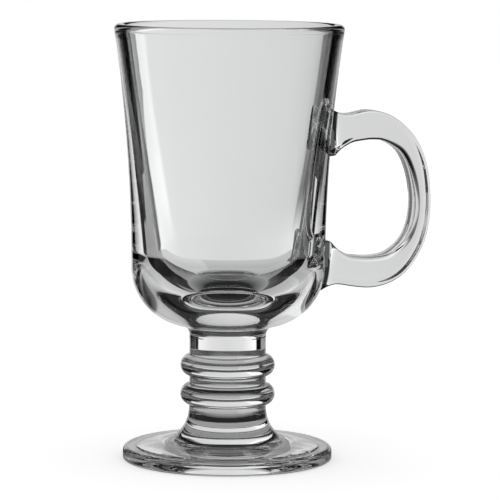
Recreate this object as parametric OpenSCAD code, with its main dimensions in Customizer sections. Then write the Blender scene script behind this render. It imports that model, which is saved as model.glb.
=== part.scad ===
// Footed glass mug for hot coffee topped with cream, pressed in clear glass.
// A thick-walled flared bowl stands on a short ringed stem and a round foot,
// and an ear-shaped handle joins one side of the bowl at two flared roots.
// Origin: centre of the plane that the foot rests on. +Z is up, and the handle points to +X.

/* [Overall] */
// Height from the rest plane to the top of the rim
mug_h = 146; // [138:1:156]
// Outside diameter of the rim
rim_d = 76.7; // [72:0.1:82]

/* [Bowl] */
// Outside diameter where the wall stands upright, between flare and shoulder
bowl_d = 65; // [61:0.5:68]
// Height of that upright place above the rest plane
upright_z = 65; // [64:0.5:68]
// Radius of the round shoulder under the bowl
shoulder_r = 20; // [18:0.5:20.5]
// Thickness of the wall at the rim, level across
rim_wall_t = 3.9; // [3.6:0.1:4.6]
// Thickness of the wall where the cavity's round bottom starts, level across
low_wall_t = 7.8; // [6:0.1:9]
// Radius of the fire-polished rounding along both edges of the rim
rim_round_r = 1.6; // [1:0.1:1.8]
// Height of the cavity's floor above the rest plane
floor_z = 56.4; // [54:0.2:58]
// Height over which the cavity's bottom rounds up into its wall
bottom_h = 16; // [12:0.5:20]
// Diameter of the level middle of the floor
floor_d = 14; // [8:1:20]

/* [Stem] */
// Diameter of the plain stem between the rings
stem_d = 25.8; // [24:0.2:28]
// Height at which the stem is fused to the bowl
stem_top_z = 41.5; // [40.5:0.5:42.5]
// Diameter over the round rings
ring_d = 31.8; // [30:0.2:33]
// Radius of the half-round section of a ring
ring_round_r = 3.6; // [3:0.1:3.8]
// Height of the lower ring above the rest plane
lower_ring_z = 22; // [21:0.5:23]
// Distance from ring to ring, centre to centre
ring_pitch = 9.8; // [9.4:0.1:10.4]
// Radius of the small fillet in the creases beside a ring
crease_r = 0.7; // [0.4:0.1:0.8]

/* [Foot] */
// Diameter of the foot
foot_d = 70.4; // [66:0.4:76]
// Thickness of the foot at its edge
foot_edge_t = 4.4; // [4:0.1:5]
// Radius of the rounding on the upper edge of the foot
foot_round_r = 1.8; // [1:0.1:2.2]
// Radius of the rounding on the lower edge of the foot
foot_under_r = 0.8; // [0.4:0.1:1.2]
// Width of the flat band round the top of the foot
foot_band_w = 4; // [3:0.2:5]
// Height of the small step from that band up to the crown of the foot
foot_step_h = 0.5; // [0.3:0.1:0.8]
// Rise of the crown from the step to the stem's flare
crown_rise = 1; // [0.5:0.1:1.5]
// Width by which the flare carries the stem out over the foot
flare_w = 10; // [8:0.5:12]
// Height at which the foot is fused to the stem
foot_top_z = 10; // [9.5:0.5:11]
// Width of the flat ring that the foot rests on
rest_w = 3.6; // [3:0.2:5]
// Depth of the dished underside at its middle
dish_depth = 1.2; // [0.8:0.1:1.6]

/* [Handle] */
// Distance from the mug's axis to the outermost point of the handle
handle_reach = 69.2; // [66:0.2:74]
// Height of the centre of the lower arm
lower_arm_z = 62.4; // [61.5:0.3:64]
// Rise from the centre of the lower arm to the centre of the upper arm
arm_rise = 49.8; // [46:0.2:54]
// Width of the handle, seen from above
handle_w = 10.8; // [9:0.2:13]
// Thickness of the handle at the grip, its thinnest place
grip_t = 5.8; // [5:0.1:7]
// Rounding along the four edges of the handle
handle_edge_r = 1.7; // [1:0.1:2.2]
// How much taller the handle grows, above and below, where it is fused to the bowl
root_rise = 3.4; // [2:0.1:4.5]
// Length over which it grows taller
root_len = 8; // [6:0.5:10]
// How much wider the handle spreads, on each side, where it is fused to the bowl
root_spread = 1.2; // [0.6:0.1:1.8]
// Length over which it spreads
spread_len = 3.5; // [2.5:0.1:5]
// Depth to which the handle is drawn into the wall before it is trimmed to it
root_depth = 2; // [1.5:0.1:2.5]

/* [Hidden] */

// Clear glass, and the same glass where its thickness makes it a touch darker
glass_colour = [0.86, 0.89, 0.9, 0.5];
thick_glass_colour = [0.76, 0.8, 0.81, 0.6];

// Straight steps in a wall, an arc, a small fillet, and between two points of the handle's route
wall_steps = 24;
arc_steps = 10;
fillet_steps = 5;
route_steps = 4;
$fn = 120;

rim_r = rim_d / 2;
bowl_r = bowl_d / 2;
stem_r = stem_d / 2;
ring_r = ring_d / 2;
foot_r = foot_d / 2;
floor_r = floor_d / 2;

// Points on an arc about [x, z] from angle a0 to angle a1, in n steps
function arc(x, z, r, a0, a1, n) =
    [for (i = [0:n]) let (a = a0 + (a1 - a0) * i / n) [x + r * cos(a), z + r * sin(a)]];

// The same points in the opposite order, to close an outline
function backwards(points) = [for (i = [len(points) - 1:-1:0]) points[i]];

// Outside of the wall: the flare grows with the square of the height above the upright place
rim_z = mug_h - rim_round_r;
function wall_r(z) =
    bowl_r + (rim_r - bowl_r) * pow(max(z - upright_z, 0) / (rim_z - upright_z), 2);

// The wall's outside from height z0 to height z1
function wall_line(z0, z1) =
    [for (i = [0:wall_steps]) let (z = z0 + (z1 - z0) * i / wall_steps) [wall_r(z), z]];

// Shoulder: a fillet leaves the stem upright and meets the big arc that ends upright in the wall
shoulder_x = bowl_r - shoulder_r;
neck_r = upright_z - shoulder_r - stem_top_z;
neck_x = stem_r + neck_r;
neck_dz = sqrt(pow(shoulder_r + neck_r, 2) - pow(neck_x - shoulder_x, 2));
neck_turn = atan2(neck_dz, neck_x - shoulder_x);

function shoulder_line() = concat(
    arc(neck_x, upright_z - neck_dz, neck_r, 180, 180 - neck_turn, fillet_steps),
    arc(shoulder_x, upright_z, shoulder_r, -neck_turn, 0, 2 * arc_steps));

// Rim: the wall's two edges, rounded
function rim_line() = concat(
    arc(rim_r - rim_round_r, rim_z, rim_round_r, 0, 90, fillet_steps),
    arc(rim_r - rim_wall_t + rim_round_r, rim_z, rim_round_r, 90, 180, fillet_steps));

// Cavity from the middle outwards: the level floor, then part of an ellipse. It ends at the
// angle where the wall's inside, a straight line down from the rim, touches it
corner_z = floor_z + bottom_h;
corner_w = wall_r(corner_z) - low_wall_t - floor_r;
rim_seen = [(rim_r - rim_wall_t - floor_r) / corner_w, (rim_z - corner_z) / bottom_h];
cavity_turn = atan2(rim_seen[1], rim_seen[0]) - acos(1 / norm(rim_seen));

function cavity_line() = concat([[0, floor_z]],
    [for (i = [0:2 * arc_steps]) let (a = (90 + cavity_turn) * i / (2 * arc_steps) - 90)
        [floor_r + corner_w * cos(a), corner_z + bottom_h * sin(a)]]);

// Ring on the stem: a half-round bead with a small fillet in the crease on each side
bead_x = ring_r - ring_round_r;
crease_x = stem_r + crease_r;
crease_dz = sqrt(pow(ring_round_r + crease_r, 2) - pow(crease_x - bead_x, 2));
crease_turn = atan2(crease_dz, crease_x - bead_x);

function ring_line(z) = concat(
    arc(crease_x, z - crease_dz, crease_r, 180, 180 - crease_turn, fillet_steps),
    arc(bead_x, z, ring_round_r, -crease_turn, crease_turn, 2 * arc_steps),
    arc(crease_x, z + crease_dz, crease_r, 180 + crease_turn, 180, fillet_steps));

// Flare: a quarter of an ellipse from the upright stem under the lower ring to the foot's crown
flare_top_z = lower_ring_z - crease_dz;
crown_z = foot_edge_t + foot_step_h + crown_rise;
flare_h = flare_top_z - crown_z;

// The flare from height z0 to height z1, with closer steps where it turns level
function flare_line(z0, z1) =
    [for (i = [0:arc_steps]) let (a0 = acos((z0 - crown_z) / flare_h - 1),
        a1 = acos((z1 - crown_z) / flare_h - 1), a = a0 + (a1 - a0) * i / arc_steps)
        [stem_r + flare_w * (1 - sin(a)), crown_z + flare_h * (1 + cos(a))]];

// Underside of the foot: a shallow dish inside the flat ring that it rests on
dish_r = foot_r - foot_under_r - rest_w;

function dish_line() =
    [for (i = [0:arc_steps]) [dish_r * i / arc_steps, dish_depth * (1 - pow(i / arc_steps, 2))]];

// Handle's route from the upper root to the lower one. Each point is a share of the way from
// the wall to the grip, a share of the rise between the arms, and a share of the grip's thickness
route_shares = [
    [0.1, 0.968, 1.64],
    [0.257, 0.984, 1.62],
    [0.444, 1, 1.69],
    [0.63, 0.97, 1.5],
    [0.832, 0.87, 1.22],
    [0.95, 0.715, 1.11],
    [1, 0.504, 1],
    [0.975, 0.313, 1.03],
    [0.885, 0.163, 1.2],
    [0.712, 0.046, 1.55],
    [0.505, 0.002, 1.78],
    [0.284, 0.01, 1.76],
    [0.11, 0.036, 1.75]];
upper_root_shares = [0.955, 1.64];
lower_root_shares = [0.06, 1.75];

grip_x = handle_reach - grip_t / 2;

// A point inside the wall, where a root starts, and one on the route: place and thickness
function root_point(shares) =
    let (z = lower_arm_z + shares[0] * arm_rise) [wall_r(z) - root_depth, z, shares[1] * grip_t];
function route_point(shares) =
    let (z = lower_arm_z + shares[1] * arm_rise)
    [wall_r(z) + shares[0] * (grip_x - wall_r(z)), z, shares[2] * grip_t];

route = concat([root_point(upper_root_shares)],
    [for (shares = route_shares) route_point(shares)],
    [root_point(lower_root_shares)]);

// Smooth curve through the route's points, u counting them from zero
function held(i) = route[min(max(i, 0), len(route) - 1)];
function blended(a, b, c, d, t) = 0.5 * (2 * b + (c - a) * t + (2 * a - 5 * b + 4 * c - d) * t * t
    + (3 * b - a - 3 * c + d) * t * t * t);
function along(u) = let (i = min(floor(u), len(route) - 2))
    blended(held(i - 1), held(i), held(i + 1), held(i + 2), u - i);

// Section of the handle: a rectangle of half thickness t and half width w with rounded edges
function section(t, w) = let (e = handle_edge_r) concat(
    arc(t - e, w - e, e, 0, 90, fillet_steps), arc(e - t, w - e, e, 90, 180, fillet_steps),
    arc(e - t, e - w, e, 180, 270, fillet_steps), arc(t - e, e - w, e, 270, 360, fillet_steps));

// Ring of points round the route at u, turned square to the route
nudge = 0.01;
function near_wall(x, z, len) = pow(min(max(1 - (x - wall_r(z)) / len, 0), 1), 2);
function ring_at(u) =
    let (p = along(u), ahead = along(u + nudge) - along(u - nudge),
        run = norm([ahead[0], ahead[1]]), nx = ahead[1] / run, nz = -ahead[0] / run,
        half_t = p[2] / 2 + root_rise * near_wall(p[0], p[1], root_len),
        half_w = handle_w / 2 + root_spread * near_wall(p[0], p[1], spread_len))
    [for (q = section(half_t, half_w)) [p[0] + nx * q[0], q[1], p[1] + nz * q[0]]];

module handle_sweep() {
    last = (len(route) - 1) * route_steps;
    rings = [for (i = [0:last]) ring_at(i / route_steps)];
    m = len(rings[0]);
    sides = [for (i = [0:last - 1], j = [0:m - 1]) let (k = (j + 1) % m, a = i * m, b = a + m)
        each [[a + j, a + k, b + k], [a + j, b + k, b + j]]];
    polyhedron([for (ring = rings) each ring],
        concat(sides, [[for (j = [m - 1:-1:0]) j]], [[for (j = [0:m - 1]) last * m + j]]));
}

module bowl_blank() {
    rotate_extrude()
        polygon(concat([[0, stem_top_z]], shoulder_line(), wall_line(upright_z, mug_h),
            [[0, mug_h]]));
}

module bowl() {
    color(glass_colour)
        rotate_extrude()
            polygon(concat([[0, stem_top_z]], shoulder_line(), wall_line(upright_z, rim_z),
                rim_line(), backwards(cavity_line())));
}

module handle() {
    color(glass_colour)
        difference() {
            handle_sweep();
            bowl_blank();
        }
}

module stem() {
    color(thick_glass_colour)
        rotate_extrude()
            polygon(concat([[0, foot_top_z]], flare_line(foot_top_z, flare_top_z),
                ring_line(lower_ring_z), ring_line(lower_ring_z + ring_pitch),
                [[stem_r, stem_top_z], [0, stem_top_z]]));
}

module foot() {
    color(thick_glass_colour)
        rotate_extrude()
            polygon(concat(dish_line(),
                arc(foot_r - foot_under_r, foot_under_r, foot_under_r, -90, 0, fillet_steps),
                arc(foot_r - foot_round_r, foot_edge_t - foot_round_r, foot_round_r,
                    0, 90, fillet_steps),
                [[foot_r - foot_band_w, foot_edge_t],
                    [foot_r - foot_band_w - foot_step_h, foot_edge_t + foot_step_h]],
                flare_line(crown_z, foot_top_z), [[0, foot_top_z]]));
}

bowl();
handle();
stem();
foot();
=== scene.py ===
# Footed mug of clear pressed glass for hot coffee topped with cream, on a pale studio floor.
import math

import bpy
from mathutils import Euler, Matrix, Vector


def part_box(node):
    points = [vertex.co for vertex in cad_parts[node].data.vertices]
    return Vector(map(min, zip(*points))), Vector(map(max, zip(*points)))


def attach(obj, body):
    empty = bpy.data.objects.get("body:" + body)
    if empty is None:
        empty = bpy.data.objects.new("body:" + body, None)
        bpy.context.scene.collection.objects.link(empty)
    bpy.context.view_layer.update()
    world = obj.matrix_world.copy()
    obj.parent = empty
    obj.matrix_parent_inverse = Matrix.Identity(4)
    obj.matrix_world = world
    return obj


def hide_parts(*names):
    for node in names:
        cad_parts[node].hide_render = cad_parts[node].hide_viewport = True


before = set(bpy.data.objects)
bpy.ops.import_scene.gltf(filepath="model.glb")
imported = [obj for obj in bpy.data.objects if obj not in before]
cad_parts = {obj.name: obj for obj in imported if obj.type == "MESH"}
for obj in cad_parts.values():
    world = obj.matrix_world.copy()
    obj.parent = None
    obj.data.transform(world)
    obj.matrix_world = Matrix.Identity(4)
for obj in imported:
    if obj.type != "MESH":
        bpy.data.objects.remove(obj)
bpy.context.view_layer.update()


# Foot
# A round disc of thick glass with a polished edge, a dished underside that leaves a narrow
# ring to rest on, and a crown that flares up into the stem. It is pressed in one with the stem.
mm = 0.001
foot_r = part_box("foot")[1].x
foot_top_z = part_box("foot")[1].z
foot_edge_t = 4.4 * mm
foot_round_r = 1.8 * mm
foot_under_r = 0.8 * mm
foot_band_w = 4 * mm
foot_step_h = 0.5 * mm
foot_step_r = 0.35 * mm
crown_rise = 1 * mm
flare_w = 10 * mm
rest_w = 3.6 * mm
dish_depth = 1.2 * mm
# The stem's own sizes, which say how the flare between foot and stem runs.
stem_r = 12.9 * mm
lower_ring_z = 22 * mm
ring_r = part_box("stem")[1].x
ring_round_r = 3.6 * mm
crease_r = 0.7 * mm
turn_steps = 240
same_place = 0.001 * mm
clear_tint = (0.985, 0.99, 0.99)


def arc(r, z, radius):
    """An arc about (r, z), as a curve of its angle in degrees."""
    def at(turn):
        return r + radius * math.cos(math.radians(turn)), z + radius * math.sin(math.radians(turn))
    return at


def drawn(curve, start, end, steps):
    """Points (r, z) of a curve and their outward directions, the glass lying on its left."""
    slope_parts = 50
    points = []
    for i in range(steps + 1):
        place = start + (end - start) * i / steps
        near = (end - start) / steps / slope_parts
        (r0, z0), (r1, z1) = curve(place - near), curve(place + near)
        run = math.hypot(r1 - r0, z1 - z0)
        points.append((*curve(place), (z1 - z0) / run, (r0 - r1) / run))
    return points


def joined(*stretches):
    """One outline from stretches that follow each other, without the points they share."""
    outline = []
    for point in (p for stretch in stretches for p in stretch):
        if not outline or math.hypot(point[0] - outline[-1][0], point[1] - outline[-1][1]) > same_place:
            outline.append(point)
    return outline


def turned(column):
    """Cosine and sine of the direction of a column of points."""
    turn = 2 * math.pi * column / turn_steps
    return math.cos(turn), math.sin(turn)


class GlassForm:
    """Points, outward directions and faces of one piece, gathered before its mesh is made."""

    def __init__(self):
        self.points = []
        self.normals = []
        self.faces = []
        self.seams = []

    def add(self, point, normal):
        """One point, and its number."""
        self.points.append(tuple(point))
        self.normals.append(tuple(normal))
        return len(self.points) - 1

    def turn(self, outline, left_out=lambda row, column: False):
        """Rows of points from an outline turned about the mug's axis, and their faces."""
        rows = []
        for r, z, nr, nz in outline:
            if r < same_place:
                rows.append([self.add((0, 0, z), (0, 0, math.copysign(1, nz)))] * turn_steps)
                continue
            ways = [turned(j) for j in range(turn_steps)]
            rows.append([self.add((r * c, r * s, z), (nr * c, nr * s, nz)) for c, s in ways])
        for i in range(len(rows) - 1):
            for j in range(turn_steps):
                k = (j + 1) % turn_steps
                corners = [rows[i][j], rows[i][k], rows[i + 1][k], rows[i + 1][j]]
                if not left_out(i, j):
                    self.faces.append(list(dict.fromkeys(corners)))
        return rows

    def strip(self, outer, inner, seen_clockwise=False):
        """Faces between two rings with as many points."""
        for i in range(len(inner)):
            k = (i + 1) % len(inner)
            corners = [outer[i], outer[k], inner[k], inner[i]]
            self.faces.append(corners[::-1] if seen_clockwise else corners)

    def seam(self, ring, centre, normal):
        """Closes a ring, anticlockwise from outside, where the glass runs on in another piece."""
        middle = self.add(centre, normal)
        self.seams += [[middle, a, b] for a, b in zip(ring, ring[1:] + ring[:1])]

    def piece(self, name, finish):
        """The finished object, its glass in one finish and its seams clear."""
        mesh = bpy.data.meshes.new(name)
        mesh.from_pydata(self.points, [], self.faces + self.seams)
        mesh.materials.append(finish)
        mesh.materials.append(fused_seam())
        for polygon in mesh.polygons:
            polygon.use_smooth = True
            polygon.material_index = int(polygon.index >= len(self.faces))
        mesh.normals_split_custom_set_from_vertices(self.normals)
        made = bpy.data.objects.new(name, mesh)
        bpy.context.scene.collection.objects.link(made)
        return made


def fused_seam():
    """Inside the glass, where two pieces are one body: light passes as if nothing were there."""
    seam = bpy.data.materials.get("fused_seam") or bpy.data.materials.new("fused_seam")
    seam.use_nodes = True
    nodes = seam.node_tree.nodes
    nodes.clear()
    through = nodes.new("ShaderNodeBsdfTransparent")
    output = nodes.new("ShaderNodeOutputMaterial")
    seam.node_tree.links.new(through.outputs[0], output.inputs["Surface"])
    return seam


def pressed_glass(name, ripple):
    """Clear glass with the faint ripple that the mould leaves and the polish of the fire.

    The dark specular tint keeps weak reflections at steep angles off the dark edges.
    """
    ior = 1.52
    steep_glint = 0.06
    ripples_per_metre = 45
    ripple_depth = 0.2 * mm
    dullest_polish = 0.02
    glass = bpy.data.materials.new(name)
    glass.use_nodes = True
    nodes = glass.node_tree.nodes
    links = glass.node_tree.links
    surface = nodes["Principled BSDF"]
    surface.inputs["Base Color"].default_value = (*clear_tint, 1)
    surface.inputs["Transmission Weight"].default_value = 1
    surface.inputs["IOR"].default_value = ior
    surface.inputs["Specular Tint"].default_value = (steep_glint, steep_glint, steep_glint, 1)
    place = nodes.new("ShaderNodeTexCoord")
    chill = nodes.new("ShaderNodeTexNoise")
    chill.inputs["Scale"].default_value = ripples_per_metre
    chill.inputs["Detail"].default_value = 2
    links.new(place.outputs["Object"], chill.inputs["Vector"])
    bump = nodes.new("ShaderNodeBump")
    bump.inputs["Strength"].default_value = ripple
    bump.inputs["Distance"].default_value = ripple_depth
    links.new(chill.outputs["Fac"], bump.inputs["Height"])
    links.new(bump.outputs["Normal"], surface.inputs["Normal"])
    polish = nodes.new("ShaderNodeMapRange")
    polish.inputs["To Max"].default_value = dullest_polish
    links.new(chill.outputs["Fac"], polish.inputs["Value"])
    links.new(polish.outputs["Result"], surface.inputs["Roughness"])
    return glass


bead_x = ring_r - ring_round_r
crease_x = stem_r + crease_r
crease_dz = math.sqrt((ring_round_r + crease_r) ** 2 - (crease_x - bead_x) ** 2)
flare_top_z = lower_ring_z - crease_dz
crown_z = foot_edge_t + foot_step_h + crown_rise
flare_h = flare_top_z - crown_z
flare_seam_turn = math.degrees(math.acos((foot_top_z - crown_z) / flare_h - 1))


def flare(turn):
    """Quarter of an ellipse from the foot's crown at 180 degrees to the upright stem at 90."""
    bend = math.radians(turn)
    return stem_r + flare_w * (1 - math.sin(bend)), crown_z + flare_h * (1 + math.cos(bend))


dish_r = foot_r - foot_under_r - rest_w
band_r = foot_r - foot_band_w
step_z = foot_edge_t + foot_step_h


def dish(share):
    """The dished underside, from the middle at 0 to the resting ring at 1."""
    return dish_r * share, dish_depth * (1 - share**2)


# From the middle of the underside, over the edge, the band round it and the low step inside
# the band, to the flare. The dish, the step and the flare stop just short of a crease, so
# that the outward direction turns within a small facet there.
foot_outline = joined(
    drawn(dish, 0, 0.98, steps=14),
    drawn(lambda r: (r, 0), dish_r, foot_r - foot_under_r, steps=4),
    drawn(arc(foot_r - foot_under_r, foot_under_r, foot_under_r), -90, 0, steps=8),
    drawn(arc(foot_r - foot_round_r, foot_edge_t - foot_round_r, foot_round_r), 0, 90, steps=12),
    drawn(arc(band_r, foot_edge_t + foot_step_r, foot_step_r), 270, 225, steps=4),
    drawn(arc(band_r - foot_step_h, step_z - foot_step_r, foot_step_r), 45, 83, steps=4),
    drawn(flare, 178, flare_seam_turn, steps=24),
)
foot_form = GlassForm()
foot_rows = foot_form.turn(foot_outline)
foot_form.seam(foot_rows[-1], (0, 0, foot_top_z), (0, 0, 1))
foot = foot_form.piece("foot", pressed_glass("foot_glass", ripple=0.5))
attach(foot, "root")
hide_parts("foot")


# Stem
# The short solid stem between foot and bowl, with two round rings turned into the mould, so
# that it is easy to grip. It is fused to the bowl while both are hot, without a visible joint.
ring_pitch = 9.8 * mm
neck_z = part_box("stem")[1].z
neck_upright_h = 1.5 * mm
crease_turn = math.degrees(math.atan2(crease_dz, crease_x - bead_x))


def ring(z):
    """A half-round bead at height z, with a small fillet in the crease on each side."""
    return joined(
        drawn(arc(crease_x, z - crease_dz, crease_r), 180, 180 - crease_turn, steps=8),
        drawn(arc(bead_x, z, ring_round_r), -crease_turn, crease_turn, steps=36),
        drawn(arc(crease_x, z + crease_dz, crease_r), 180 + crease_turn, 180, steps=8),
    )


stem_outline = joined(
    drawn(flare, flare_seam_turn, 90, steps=12),
    ring(lower_ring_z),
    ring(lower_ring_z + ring_pitch),
    drawn(lambda z: (stem_r, z), neck_z - neck_upright_h, neck_z, steps=2),
)
stem_form = GlassForm()
stem_rows = stem_form.turn(stem_outline)
stem_form.seam(stem_rows[0][::-1], (0, 0, foot_top_z), (0, 0, -1))
stem_form.seam(stem_rows[-1], (0, 0, neck_z), (0, 0, 1))
stem = stem_form.piece("stem", pressed_glass("stem_glass", ripple=0.2))
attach(stem, "root")
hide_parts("stem")


# Handle
# The ear that one or two fingers go through, of the same glass, pressed with the bowl. Its
# upper arm rises to a rest for the thumb, and both arms flare into roots at the wall. The dark
# look of the narrow fold between root and wall is painted shade in the handle's colour.
mug_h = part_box("bowl")[1].z
rim_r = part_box("bowl")[1].x
rim_round_r = 1.6 * mm
rim_z = mug_h - rim_round_r
upright_z = 65 * mm
upright_r = 32.5 * mm
shoulder_r = 20 * mm
handle_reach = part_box("handle")[1].x
lower_arm_z = 62.4 * mm
arm_rise = 49.8 * mm
handle_w = 10.8 * mm
grip_t = 5.8 * mm
handle_edge_r = 1.7 * mm
root_rise = 3.4 * mm
root_len = 8 * mm
root_spread = 1.2 * mm
spread_len = 3.5 * mm
root_depth = 2 * mm
# Painted shade: the handle's colour darkens towards the wall over this length, in the folds at its
# roots.
painted_shade_len = 3 * mm
painted_shade_from = 0.15
painted_shade_full = 0.3
painted_shade_colour = (0.02, 0.022, 0.022, 1)
# Each point of the route is a share of the way from the wall to the grip, a share of the rise
# between the arms, and a share of the grip's thickness, from the upper root to the lower one.
route_shares = [
    (0.1, 0.968, 1.64),
    (0.257, 0.984, 1.62),
    (0.444, 1, 1.69),
    (0.63, 0.97, 1.5),
    (0.832, 0.87, 1.22),
    (0.95, 0.715, 1.11),
    (1, 0.504, 1),
    (0.975, 0.313, 1.03),
    (0.885, 0.163, 1.2),
    (0.712, 0.046, 1.55),
    (0.505, 0.002, 1.78),
    (0.284, 0.01, 1.76),
    (0.11, 0.036, 1.75),
]
upper_root_shares = (0.955, 1.64)
lower_root_shares = (0.06, 1.75)
# Steps along the four sides of the section: the loop's side, +Y, the outer side and -Y.
section_steps = [20, 22, 20, 22]
handle_rings = 120
slope_u = 0.01
clear_u = 3
halvings = 45


def wall_r(z):
    """Outside of the bowl at a height: the shoulder's arc below, the flaring wall above."""
    if z < upright_z:
        return upright_r - shoulder_r + math.sqrt(shoulder_r**2 - (upright_z - z) ** 2)
    return upright_r + (rim_r - upright_r) * ((z - upright_z) / (rim_z - upright_z)) ** 2


def root_point(rise_share, thick_share):
    """Point of the route inside the wall, where a root starts: place and thickness."""
    z = lower_arm_z + rise_share * arm_rise
    return wall_r(z) - root_depth, z, thick_share * grip_t


def route_point(out_share, rise_share, thick_share):
    """Point of the route outside the wall: place and thickness."""
    z = lower_arm_z + rise_share * arm_rise
    grip_x = handle_reach - grip_t / 2
    return wall_r(z) + out_share * (grip_x - wall_r(z)), z, thick_share * grip_t


route = [root_point(*upper_root_shares)]
route += [route_point(*shares) for shares in route_shares]
route += [root_point(*lower_root_shares)]


def along(u):
    """The route as a smooth curve, u counting its points from zero."""
    i = min(max(int(u), 0), len(route) - 2)
    t = u - i
    four = [route[min(max(k, 0), len(route) - 1)] for k in (i - 1, i, i + 1, i + 2)]
    return [
        0.5 * (2 * b + (c - a) * t + (2 * a - 5 * b + 4 * c - d) * t**2
               + (3 * b - a - 3 * c + d) * t**3)
        for a, b, c, d in zip(*four)
    ]


def near_wall(x, z, length):
    """One at the wall, falling smoothly to nothing at that distance from it."""
    return min(max(1 - (x - wall_r(z)) / length, 0), 1) ** 2


def section(step, half_t, half_w):
    """Place and outward direction (inwards, across) on a rectangle with rounded edges."""
    side = 0
    while step >= section_steps[side]:
        step -= section_steps[side]
        side += 1
    share = math.sin(math.pi * (step / section_steps[side] - 0.5))
    inward, across = [(1, share), (-share, 1), (-1, -share), (share, -1)][side]
    flat_t, flat_w = half_t - handle_edge_r, half_w - handle_edge_r
    core = Vector((
        max(-flat_t, min(flat_t, inward * half_t)),
        max(-flat_w, min(flat_w, across * half_w)),
    ))
    out = (Vector((inward * half_t, across * half_w)) - core).normalized()
    return core + handle_edge_r * out, out


def handle_point(u, step):
    """A point of the handle's surface, and the way that its section runs there."""
    x, z, thickness = along(u)
    ahead = [b - a for a, b in zip(along(u - slope_u), along(u + slope_u))]
    inward = Vector((ahead[1], 0, -ahead[0])).normalized()
    half_t = thickness / 2 + root_rise * near_wall(x, z, root_len)
    half_w = handle_w / 2 + root_spread * near_wall(x, z, spread_len)
    place, out = section(step, half_t, half_w)
    sideways = Vector((0, 1, 0))
    return (
        Vector((x, 0, z)) + place.x * inward + place.y * sideways,
        out.x * sideways - out.y * inward,
    )


def handle_normal(u, step):
    """Outward direction of the handle's surface."""
    run = handle_point(u + slope_u, step)[0] - handle_point(u - slope_u, step)[0]
    return handle_point(u, step)[1].cross(run).normalized()


def meets_wall(step, inside, outside):
    """Place u on the route where one line along the handle comes out of the wall."""
    for _ in range(halvings):
        middle = (inside + outside) / 2
        x, y, z = handle_point(middle, step)[0]
        if math.hypot(x, y) < wall_r(z):
            inside = middle
        else:
            outside = middle
    return outside


def paint_fold_shade(piece, painted_shades):
    """Paints shade into the glass's colour in narrow folds, one number per point, where the glass looks
    dark.
    """
    piece.data.attributes.new("painted_shade", "FLOAT", "POINT").data.foreach_set("value", painted_shades)
    tree = piece.data.materials[0].node_tree
    surface = tree.nodes["Principled BSDF"]
    painted_shade = tree.nodes.new("ShaderNodeAttribute")
    painted_shade.attribute_name = "painted_shade"
    shade_share = tree.nodes.new("ShaderNodeMapRange")
    shade_share.inputs["From Min"].default_value = painted_shade_from
    shade_share.inputs["From Max"].default_value = painted_shade_full
    colour = tree.nodes.new("ShaderNodeMix")
    colour.data_type = "RGBA"
    colour.inputs["A"].default_value = surface.inputs["Base Color"].default_value
    colour.inputs["B"].default_value = painted_shade_colour
    tree.links.new(painted_shade.outputs["Fac"], shade_share.inputs["Value"])
    tree.links.new(shade_share.outputs["Result"], colour.inputs["Factor"])
    tree.links.new(colour.outputs["Result"], surface.inputs["Base Color"])


last_u = len(route) - 1
lines = range(sum(section_steps))
starts = [meets_wall(step, 0, clear_u) for step in lines]
ends = [meets_wall(step, last_u, last_u - clear_u) for step in lines]
handle_form = GlassForm()
handle_lines = []
for i in range(handle_rings + 1):
    places = [a + (b - a) * i / handle_rings for a, b in zip(starts, ends)]
    handle_lines.append([
        handle_form.add(handle_point(u, step)[0], handle_normal(u, step))
        for step, u in zip(lines, places)
    ])
for one, following in zip(handle_lines, handle_lines[1:]):
    handle_form.strip(one, following)
upper_root = [handle_form.points[n] for n in handle_lines[0]]
lower_root = [handle_form.points[n] for n in handle_lines[-1]]


def root_middle(root):
    """Point of the wall in the middle of a root."""
    z = sum(point[2] for point in root) / len(root)
    return wall_r(z), 0, z


handle_form.seam(handle_lines[0][::-1], root_middle(upper_root), (-1, 0, 0))
handle_form.seam(handle_lines[-1], root_middle(lower_root), (-1, 0, 0))
handle = handle_form.piece("handle", pressed_glass("handle_glass", ripple=0.2))
# Painted shade: the handle's colour turns near black close to the wall, in the folds at its roots.
paint_fold_shade(handle, [near_wall(math.hypot(x, y), z, painted_shade_len) for x, y, z in handle_form.points])
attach(handle, "root")
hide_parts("handle")


# Bowl
# The thick-walled cup that holds the drink, pressed in an iron mould together with the handle
# and fused to the stem below its round shoulder. Its wall flares to a fire-polished rim and
# thickens evenly downwards, to where its inside rounds into the floor.
rim_wall_t = 3.9 * mm
low_wall_t = 7.8 * mm
floor_z = 56.4 * mm
floor_r = 7 * mm
bottom_h = 16 * mm
first_row_z = 52 * mm
wall_rows = 92
row_h = (rim_z - first_row_z) / wall_rows
root_columns, root_rows = section_steps[:2]
# Heights at which the two blocks of cells start that the handle's roots take the place of.
lower_block_z = 54 * mm
upper_block_z = 99 * mm
root_rims = (0.25, 0.5, 0.75, 1)
neck_r = upright_z - shoulder_r - neck_z
neck_x = stem_r + neck_r
shoulder_x = upright_r - shoulder_r
neck_dz = math.sqrt((shoulder_r + neck_r) ** 2 - (neck_x - shoulder_x) ** 2)
neck_turn = math.degrees(math.atan2(neck_dz, neck_x - shoulder_x))
first_row_turn = -math.degrees(math.asin((upright_z - first_row_z) / shoulder_r))
corner_z = floor_z + bottom_h
corner_w = wall_r(corner_z) - low_wall_t - floor_r
inner_rim_r = rim_r - rim_wall_t
rim_seen = Vector(((inner_rim_r - floor_r) / corner_w, (rim_z - corner_z) / bottom_h))
cavity_turn = math.degrees(math.atan2(rim_seen.y, rim_seen.x) - math.acos(1 / rim_seen.length))


def cavity(turn):
    """Part of an ellipse that rounds the wall's inside down into the floor."""
    bend = math.radians(turn)
    return floor_r + corner_w * math.cos(bend), corner_z + bottom_h * math.sin(bend)


def inside_wall(share):
    """The straight inside of the wall, from the rim at 0 down to the rounded bottom at 1."""
    low_r, low_z = cavity(cavity_turn)
    return inner_rim_r + (low_r - inner_rim_r) * share, rim_z + (low_z - rim_z) * share


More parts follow.
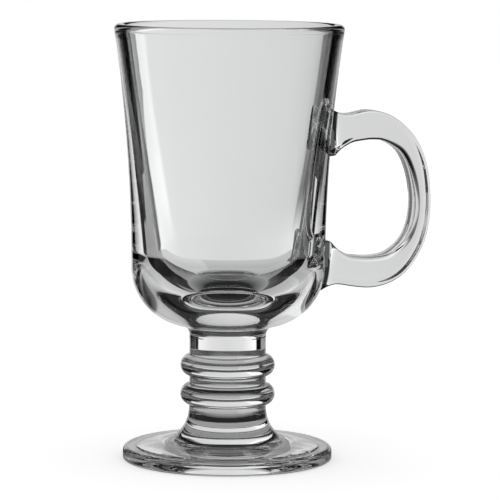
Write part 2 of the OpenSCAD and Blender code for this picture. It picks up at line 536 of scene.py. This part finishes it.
under_outline = joined(
    drawn(arc(neck_x, upright_z - neck_dz, neck_r), 180, 180 - neck_turn, steps=10),
    drawn(arc(shoulder_x, upright_z, shoulder_r), -neck_turn, first_row_turn, steps=20),
)
bowl_outline = joined(
    under_outline,
    drawn(lambda z: (wall_r(z), z), first_row_z, rim_z, wall_rows),
    drawn(arc(rim_r - rim_round_r, rim_z, rim_round_r), 0, 90, steps=12),
    drawn(arc(inner_rim_r + rim_round_r, rim_z, rim_round_r), 90, 180, steps=12),
    drawn(inside_wall, 0, 1, steps=24),
    drawn(cavity, cavity_turn, -90, steps=36),
    drawn(lambda r: (r, floor_z), floor_r, 0, steps=3),
)
first_row = len(under_outline) - 1
root_starts = [first_row + round((z - first_row_z) / row_h) for z in (lower_block_z, upper_block_z)]


def under_root(row, column):
    """True for the cells of the wall that the roots of the handle take the place of."""
    beside = (column + root_columns // 2) % turn_steps < root_columns
    return beside and any(start <= row < start + root_rows for start in root_starts)


def root_border(start, end):
    """Rows and columns round a root's block: across its first row, along, and back home."""
    half = root_columns // 2
    step = 1 if end > start else -1
    across = [(start, j) for j in range(-half, half)]
    along_side = [(i, half) for i in range(start, end, step)]
    back = [(end, j) for j in range(half, -half, -1)]
    home = [(i, -half) for i in range(end, start, -step)]
    return across + along_side + back + home


bowl_form = GlassForm()
bowl_rows = bowl_form.turn(bowl_outline, under_root)
bowl_form.seam(bowl_rows[0][::-1], (0, 0, neck_z), (0, 0, -1))
root_blocks = [
    (root_border(root_starts[1], root_starts[1] + root_rows), upper_root, False),
    (root_border(root_starts[0] + root_rows, root_starts[0]), lower_root, True),
]
for border, root, clockwise in root_blocks:
    outer = [bowl_rows[i][j % turn_steps] for i, j in border]
    edge = [(2 * math.pi * j / turn_steps, bowl_outline[i][1]) for i, j in border]
    for share in root_rims:
        inner = []
        for (side, z), (x, y, root_z) in zip(edge, root):
            at = side + (math.atan2(y, x) - side) * share
            up = z + (root_z - z) * share
            r, _, nr, nz = drawn(lambda h: (wall_r(h), h), up, up + row_h, 1)[0]
            point = (r * math.cos(at), r * math.sin(at), up) if share < 1 else (x, y, root_z)
            inner.append(bowl_form.add(point, (nr * math.cos(at), nr * math.sin(at), nz)))
        bowl_form.strip(outer, inner, clockwise)
        outer = inner
    bowl_form.seam(outer[::-1] if clockwise else outer, root_middle(root), (1, 0, 0))
bowl = bowl_form.piece("bowl", pressed_glass("bowl_glass", ripple=0.1))
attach(bowl, "root")
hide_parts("bowl")


# Studio floor
# A plain pale sheet of paper on a table, which keeps the mug's soft shadow. The camera and
# the glass see it white.
floor_half = 2500 * mm
floor_drop = 0.02 * mm
paper_white = 0.92
paper_glow = 0.42
floor_mesh = bpy.data.meshes.new("floor")
floor_mesh.from_pydata(
    [(x * floor_half, y * floor_half, -floor_drop) for x, y in ((-1, -1), (1, -1), (1, 1), (-1, 1))],
    [],
    [(0, 1, 2, 3)],
)
floor = bpy.data.objects.new("floor", floor_mesh)
bpy.context.scene.collection.objects.link(floor)
paper = bpy.data.materials.new("pale_paper")
paper.use_nodes = True


def seen_directly(tree):
    """One for rays from the camera and for what it sees in glass, otherwise nothing."""
    path = tree.nodes.new("ShaderNodeLightPath")
    total = path.outputs["Is Camera Ray"]
    for name in ("Is Glossy Ray", "Is Transmission Ray"):
        either = tree.nodes.new("ShaderNodeMath")
        either.operation = "MAXIMUM"
        tree.links.new(total, either.inputs[0])
        tree.links.new(path.outputs[name], either.inputs[1])
        total = either.outputs[0]
    return total


paper.node_tree.nodes.clear()
diffuse = paper.node_tree.nodes.new("ShaderNodeBsdfDiffuse")
diffuse.inputs["Color"].default_value = (paper_white, paper_white, paper_white, 1)
glow = paper.node_tree.nodes.new("ShaderNodeEmission")
glow_share = paper.node_tree.nodes.new("ShaderNodeMath")
glow_share.operation = "MULTIPLY"
glow_share.inputs[1].default_value = paper_glow
both = paper.node_tree.nodes.new("ShaderNodeAddShader")
paper_out = paper.node_tree.nodes.new("ShaderNodeOutputMaterial")
paper.node_tree.links.new(seen_directly(paper.node_tree), glow_share.inputs[0])
paper.node_tree.links.new(glow_share.outputs[0], glow.inputs["Strength"])
paper.node_tree.links.new(diffuse.outputs[0], both.inputs[0])
paper.node_tree.links.new(glow.outputs[0], both.inputs[1])
paper.node_tree.links.new(both.outputs[0], paper_out.inputs["Surface"])
floor_mesh.materials.append(paper)


# Set round the mug
# What stands close round the mug and is seen by its glass alone: a pale backdrop that leans
# back, dark cards beside it, above and in front, which draw the dark edges of the glass, and
# pale windows between them. Angles are in degrees to the left of straight behind the mug.
view_turn = -12.5
backdrop_r = 160 * mm
backdrop_h = 190 * mm
cards_r = 330 * mm
cards_h = 300 * mm
black = 0.002
columns_per_degree = 2


def blend(place, steps):
    """A value between the steps (place, value) on either side."""
    for (a, low), (b, high) in zip(steps, steps[1:]):
        if place <= b:
            return low + (high - low) * min(max((place - a) / (b - a), 0), 1)
    return steps[-1][1]


def backdrop_light(angle, r, z):
    """The backdrop: palest on the left, with a grey edge there that leans to the mug."""
    up = z / backdrop_h
    narrowing = 0.35
    angle = angle * (1 + narrowing * up)
    low = blend(angle, [
        (-38, black), (-36, 0.9), (-30, 0.9), (-15, 0.74), (0, 0.7), (15, 0.76), (29, 1), (34, 1),
        (36, black),
    ])
    high = blend(angle, [
        (-40, black), (-36, 0.01), (-32, 0.08), (-29, 0.16), (-27, 0.2), (-25, 0.62), (-20, 0.66),
        (-10, 0.68), (0, 0.72), (12, 0.76), (18, 0.8), (20, 1.05), (33, 1.05), (34, black),
    ])
    grey_from = blend(up, [(0.25, 35), (0.5, 26.3)])
    grey_to = 33
    if grey_from < angle < grey_to:
        high = 0.36
    return blend(up, [(0.12, low), (0.22, high)])


def cards_light(angle, r, z):
    """Dark cards beside the backdrop and in front, with pale windows in between."""
    in_front = abs(angle) > 149
    if in_front:
        return blend(z, [(70 * mm, 0.06), (75 * mm, 0.6), (90 * mm, 0.6), (100 * mm, 0.05)])
    window_edge = blend(z, [(40 * mm, 51), (70 * mm, 57)])
    right_side = 0.6 if z < 80 * mm else 0.03
    low = blend(angle, [
        (-98, right_side), (-96, black), (-86, black), (-84, 0.4), (-79, 0.4), (-77, black),
        (window_edge, black), (window_edge + 3, 0.33), (72, 0.33), (74, 0.01), (86, 0.01),
        (88, 0.6), (120, 0.6), (121, 0.02),
    ])
    high = blend(angle, [
        (-97, 0.03), (-96, 0.01), (57, 0.01), (60, 0.15), (72, 0.15), (74, 0.01), (86, 0.01),
        (88, 0.5), (120, 0.5), (121, 0.02),
    ])
    return blend(z, [(165 * mm, low), (185 * mm, high), (255 * mm, high), (285 * mm, 0.08)])


def ground_light(angle, r, z):
    """The floor as the glass sees it, glowing: a painted shadow dark under the foot, and dark between
    backdrop and windows.
    """
    # Painted shadow: the glow is dark under and just round the foot, where the foot shades the floor.
    painted_foot_shadow = [(0, 0.012), (20 * mm, 0.02), (26 * mm, 0.12), (38 * mm, 0.3)]
    in_front = abs(angle) > 152
    beside_camera = abs(angle) > 125
    below_left_window = 34 <= angle < 77
    below_right_cards = -84 < angle <= -46
    below_backdrop = -46 < angle < 34
    if in_front:
        return blend(r, painted_foot_shadow + [(40 * mm, 0.35), (50 * mm, 0.35), (60 * mm, 0.05), (cards_r, 0.05)])
    if beside_camera:
        return blend(r, painted_foot_shadow + [(41 * mm, 0.65), (54 * mm, 0.65), (60 * mm, 0.2), (100 * mm, 0.6)])
    if below_left_window:
        near = 0.2 if angle < 46 else 0.02
        far = 0.02 if angle < 48 else 0.35
        return blend(r, painted_foot_shadow + [
            (41 * mm, near), (56 * mm, near), (60 * mm, 0.01), (112 * mm, 0.01), (130 * mm, 0.35),
            (230 * mm, 0.35), (240 * mm, far),
        ])
    if below_right_cards:
        return blend(r, painted_foot_shadow + [
            (41 * mm, 0.1), (56 * mm, 0.02), (110 * mm, black), (125 * mm, 0.1), (230 * mm, 0.1),
            (250 * mm, 0.02),
        ])
    if below_backdrop:
        pale = 1.2 if angle > 8 else 1
        return blend(r, painted_foot_shadow + [(46 * mm, 0.4 * pale), (160 * mm, 0.57 * pale), (cards_r, 0.75)])
    return blend(r, painted_foot_shadow + [(46 * mm, 0.25), (70 * mm, 0.25), (110 * mm, 0.6)])


def ceiling_light(angle, r, z):
    """The card above, a little paler towards the backdrop."""
    above_backdrop = abs(angle) < 52
    card = 0.02
    if above_backdrop:
        return blend(r, [(40 * mm, card), (90 * mm, 0.2), (180 * mm, 0.2), (230 * mm, card)])
    return card


def set_piece(name, angles, profile, light):
    """A sheet turned about the mug that glows for the glass alone, as bright as light says."""
    points, faces, glow = [], [], []
    for column in range(angles[0] * columns_per_degree, angles[1] * columns_per_degree + 1):
        angle = column / columns_per_degree
        way = math.radians(90 + view_turn + angle)
        for r, z in profile:
            points.append((r * math.cos(way), r * math.sin(way), z))
            glow.append(light(angle, r, z))
    rows = len(profile)
    for n in range(rows, len(points)):
        if n % rows:
            faces.append((n - 1, n, n - rows, n - rows - 1))
    mesh = bpy.data.meshes.new(name)
    mesh.from_pydata(points, [], faces)
    mesh.attributes.new("glow", "FLOAT", "POINT").data.foreach_set("value", glow)
    mesh.materials.append(glowing_set_sheet)
    sheet = bpy.data.objects.new(name, mesh)
    bpy.context.scene.collection.objects.link(sheet)
    sheet.visible_camera = False
    sheet.visible_diffuse = False
    sheet.visible_shadow = False


# The set's sheets are painted light: they glow with an emission, and no lamp lights them.
glowing_set_sheet = bpy.data.materials.new("glowing_set_sheet")
glowing_set_sheet.use_nodes = True
glowing_set_sheet.cycles.emission_sampling = "NONE"
set_nodes = glowing_set_sheet.node_tree.nodes
set_nodes.clear()
glow_read = set_nodes.new("ShaderNodeAttribute")
glow_read.attribute_name = "glow"
set_glow = set_nodes.new("ShaderNodeEmission")
set_out = set_nodes.new("ShaderNodeOutputMaterial")
glowing_set_sheet.node_tree.links.new(glow_read.outputs["Fac"], set_glow.inputs["Strength"])
glowing_set_sheet.node_tree.links.new(set_glow.outputs[0], set_out.inputs["Surface"])
# The cards every 5 mm up to their full height, the floor every millimetre as far as round the
# foot and then every 10 mm, and the backdrop leaning back to just inside the cards.
upright = [i * 5 * mm for i in range(61)]
outward = [i * 1 * mm for i in range(70)] + [i * 10 * mm for i in range(7, 34)]
backdrop_rows = 38
lean = cards_r - 2 * mm - backdrop_r
leaning = [
    (backdrop_r + lean * i / backdrop_rows, backdrop_h * i / backdrop_rows)
    for i in range(backdrop_rows + 1)
]
all_round = (-180, 180)
set_piece("backdrop", (-44, 44), leaning, backdrop_light)
set_piece("cards", all_round, [(cards_r, z) for z in upright], cards_light)
set_piece("ceiling", all_round, [(r, cards_h) for r in outward[::2]], ceiling_light)
set_piece("ground", all_round, [(r, -floor_drop / 2) for r in outward], ground_light)


# Light
# A plain white world all round is the only light, so the shadow stays soft. The camera and
# the glass see it as white, and it lights the floor a little less.
world_light = 0.72
world_white = 1
world = bpy.data.worlds.new("studio")
bpy.context.scene.world = world
world.use_nodes = True
background = world.node_tree.nodes["Background"]
strength = world.node_tree.nodes.new("ShaderNodeMapRange")
strength.inputs["To Min"].default_value = world_light
strength.inputs["To Max"].default_value = world_white
world.node_tree.links.new(seen_directly(world.node_tree), strength.inputs["Value"])
world.node_tree.links.new(strength.outputs["Result"], background.inputs["Strength"])
background.inputs["Color"].default_value = (1, 1, 1, 1)


# Camera
# A long lens a metre away, a little above the rim, with the handle turned slightly from it.
# It is aimed a touch to the side and rolled a touch, as the picture was taken.
camera_data = bpy.data.cameras.new("camera")
camera_data.sensor_width = 36
camera_data.lens = 214.8
camera_data.clip_start = 0.05
camera = bpy.data.objects.new("camera", camera_data)
bpy.context.scene.collection.objects.link(camera)
camera_away = 993 * mm
camera_z = 184 * mm
camera_pitch = 6.52
camera_yaw = -0.42
camera_roll = 0.36
turn = math.radians(view_turn)
camera.location = (camera_away * math.sin(turn), -camera_away * math.cos(turn), camera_z)
aim = Euler((math.radians(90 - camera_pitch), 0, turn + math.radians(camera_yaw))).to_matrix()
aim = aim @ Matrix.Rotation(math.radians(camera_roll), 3, "Z")
camera.rotation_euler = aim.to_euler()
bpy.context.scene.camera = camera

scene = bpy.context.scene
scene.view_settings.view_transform = "Standard"
scene.cycles.max_bounces = 16
scene.cycles.glossy_bounces = 12
scene.cycles.transmission_bounces = 12
scene.cycles.transparent_max_bounces = 64
